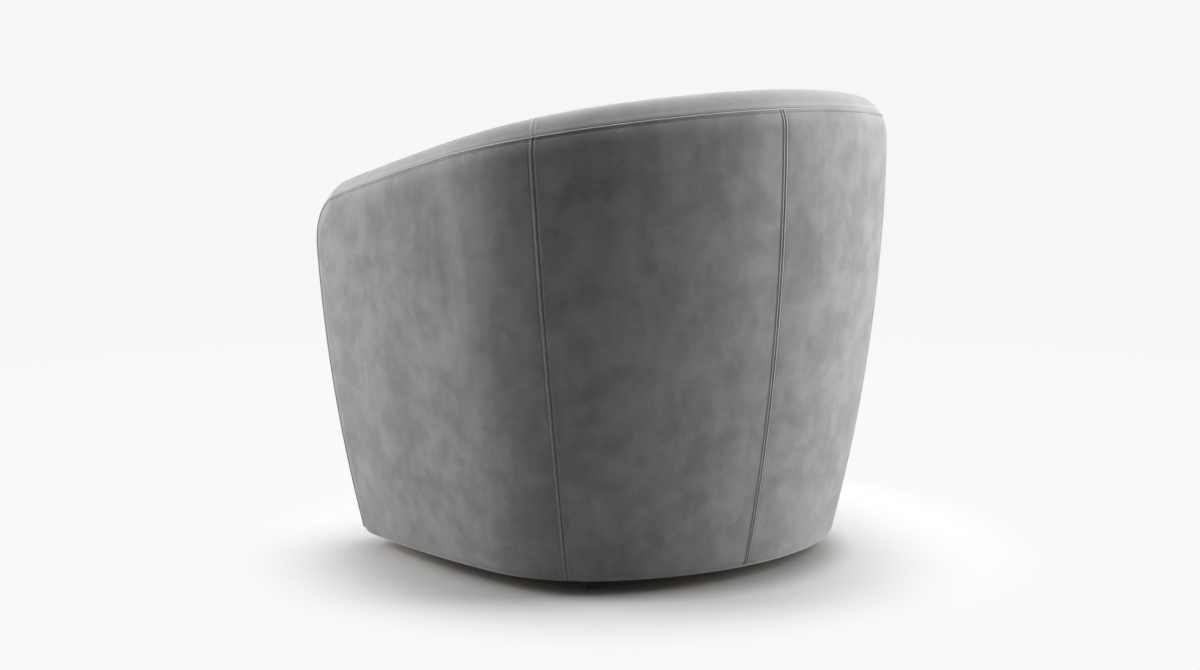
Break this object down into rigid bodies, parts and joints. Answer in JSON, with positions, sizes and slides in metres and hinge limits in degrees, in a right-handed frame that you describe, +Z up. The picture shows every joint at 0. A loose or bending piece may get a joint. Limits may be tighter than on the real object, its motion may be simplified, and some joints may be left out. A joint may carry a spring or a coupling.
{
  "type": "accent chair",
  "caption": "Low upholstered tub chair: a wrap-around leather shell that narrows to the floor, with a rounded top band, a loose seat cushion and low glides.",
  "frame": {"origin": "on the floor under the middle of the chair's outline", "axes": "+Z up, the seat faces -Y, +X towards the sitter's left"},
  "size_m": [0.7864, 0.6799, 0.7014],
  "materials": {
    "leather": "grey napped leather, brushed soft, with lighter and darker strokes",
    "foam": "upholstery foam under wadding",
    "plywood": "bare birch plywood",
    "fibreboard": "bent hardboard",
    "webbing": "woven elastic webbing",
    "spring_steel": "oiled spring wire",
    "black_cloth": "black non-woven cloth",
    "glide_plastic": "black moulded nylon",
    "screw_steel": "zinc plated"
  },
  "bodies": {
    "chair": {"arm_band_left": "leather", "arm_band_right": "leather", "arm_post_left": "plywood", "arm_post_right": "plywood", "arm_rib_left": "plywood", "arm_rib_right": "plywood", "arm_roll_padding_left": "foam", "arm_roll_padding_right": "foam", "back_band": "leather", "back_rib_left": "plywood", "back_rib_right": "plywood", "back_roll_padding": "foam", "base_board": "plywood", "corner_rib_left": "plywood", "corner_rib_right": "plywood", "deck_cloth": "black_cloth", "dust_cover": "black_cloth", "frame_screws": "screw_steel", "front_cover": "leather", "front_padding": "foam", "front_rail": "plywood", "glide_front_left": "glide_plastic", "glide_front_right": "glide_plastic", "glide_rear_left": "glide_plastic", "glide_rear_right": "glide_plastic", "glide_screws": "screw_steel", "inner_webbing": "webbing", "inside_arm_cover_left": "leather", "inside_arm_cover_right": "leather", "inside_arm_foam_left": "foam", "inside_arm_foam_right": "foam", "inside_back_cover": "leather", "inside_back_foam": "foam", "outer_lining": "fibreboard", "outside_arm_cover_left": "leather", "outside_arm_cover_right": "leather", "outside_back_cover_left": "leather", "outside_back_cover_right": "leather", "seat_post_front_left": "plywood", "seat_post_front_right": "plywood", "seat_post_rear_left": "plywood", "seat_post_rear_right": "plywood", "seat_ring": "plywood", "seat_spring_1": "spring_steel", "seat_spring_2": "spring_steel", "seat_spring_3": "spring_steel", "seat_spring_4": "spring_steel", "seat_spring_5": "spring_steel", "spring_clips": "spring_steel", "top_rail": "plywood"},
    "cushion": {"seat_cushion": "leather"}
  },
  "joints": [
    {"name": "seat_cushion_lift", "type": "slide", "parent": "chair", "child": "cushion", "axis": [0, 0, 1], "range_m": [0, 0.45]}
  ]
}
